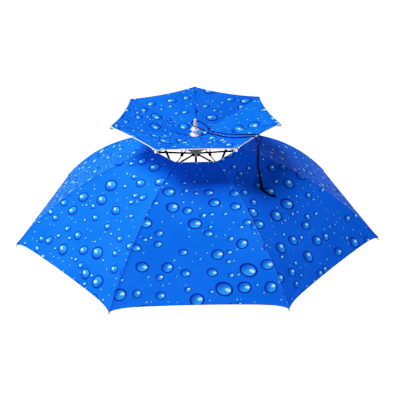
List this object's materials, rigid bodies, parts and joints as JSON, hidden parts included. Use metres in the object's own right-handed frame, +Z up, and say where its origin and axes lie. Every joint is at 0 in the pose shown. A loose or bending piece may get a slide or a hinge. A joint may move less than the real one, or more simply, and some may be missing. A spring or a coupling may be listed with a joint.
{
  "type": "umbrella hat",
  "caption": "Double-layer umbrella hat: a wide vented cloth canopy on folding ribs, a small dished canopy above it, a finial with a cord loop, and an elastic headband inside.",
  "frame": {"origin": "on the hat's axis, at the level of the floor that its seven rib ends stand on", "axes": "+Z up along the axis through the finial, -Y towards the wearer's front, +X across the hat"},
  "size_m": [0.7542, 0.7354, 0.2482],
  "materials": {
    "canopy": "blue polyester with a print of water drops, silver-white inside",
    "frame": "black, satin",
    "hub": "grey, moulded",
    "finial": "white, moulded",
    "webbing": "black woven elastic",
    "cord": "black braided cord"
  },
  "bodies": {
    "root": {"band_strap_1": "webbing", "band_strap_2": "webbing", "band_strap_3": "webbing", "band_strap_4": "webbing", "band_strap_5": "webbing", "band_strap_6": "webbing", "band_strap_7": "webbing", "cord_knot": "cord", "cord_strand_left": "cord", "cord_strand_right": "cord", "cord_tail_left": "cord", "cord_tail_right": "cord", "finial": "finial", "headband": "webbing", "main_gore_1": "canopy", "main_gore_2": "canopy", "main_gore_3": "canopy", "main_gore_4": "canopy", "main_gore_5": "canopy", "main_gore_6": "canopy", "main_gore_7": "canopy", "main_rib_1": "frame", "main_rib_2": "frame", "main_rib_3": "frame", "main_rib_4": "frame", "main_rib_5": "frame", "main_rib_6": "frame", "main_rib_7": "frame", "notch": "hub", "runner": "hub", "shaft": "frame", "stretcher_1": "frame", "stretcher_2": "frame", "stretcher_3": "frame", "stretcher_4": "frame", "stretcher_5": "frame", "stretcher_6": "frame", "stretcher_7": "frame", "top_cap_1": "finial", "top_cap_2": "finial", "top_cap_3": "finial", "top_cap_4": "finial", "top_cap_5": "finial", "top_cap_6": "finial", "top_cap_7": "finial", "top_gore_1": "canopy", "top_gore_2": "canopy", "top_gore_3": "canopy", "top_gore_4": "canopy", "top_gore_5": "canopy", "top_gore_6": "canopy", "top_gore_7": "canopy", "top_rib_1": "frame", "top_rib_2": "frame", "top_rib_3": "frame", "top_rib_4": "frame", "top_rib_5": "frame", "top_rib_6": "frame", "top_rib_7": "frame"}
  },
  "joints": []
}
